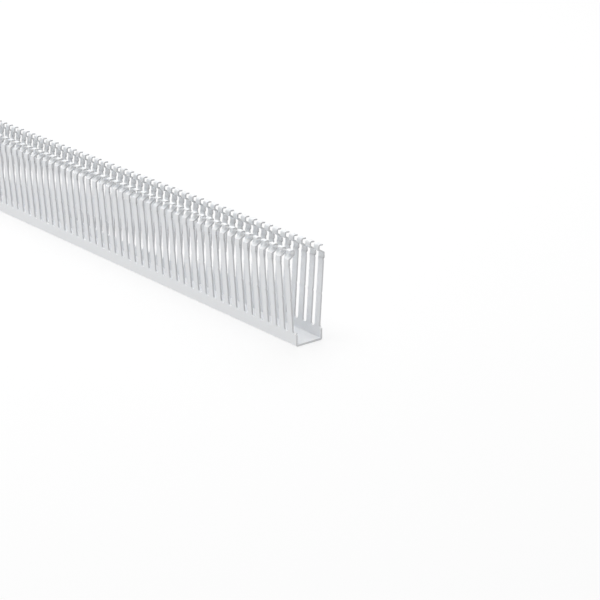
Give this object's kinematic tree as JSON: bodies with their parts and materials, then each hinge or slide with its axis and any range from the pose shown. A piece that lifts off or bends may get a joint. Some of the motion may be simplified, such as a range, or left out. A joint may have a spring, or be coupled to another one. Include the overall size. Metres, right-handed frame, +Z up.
{
  "type": "slotted wire duct",
  "caption": "Straight open-topped plastic wiring duct with slotted side walls, outward-leaning fingers with snap heads for a cover, and a drilled flat base.",
  "frame": {"origin": "centre of the underside", "axes": "+X along the duct towards the end seen in the picture, +Y across it, +Z up out of the open mouth"},
  "size_m": [1, 0.0338, 0.075],
  "materials": {
    "duct_pvc": "satin"
  },
  "bodies": {
    "root": {"slotted_duct": "duct_pvc"}
  },
  "joints": []
}
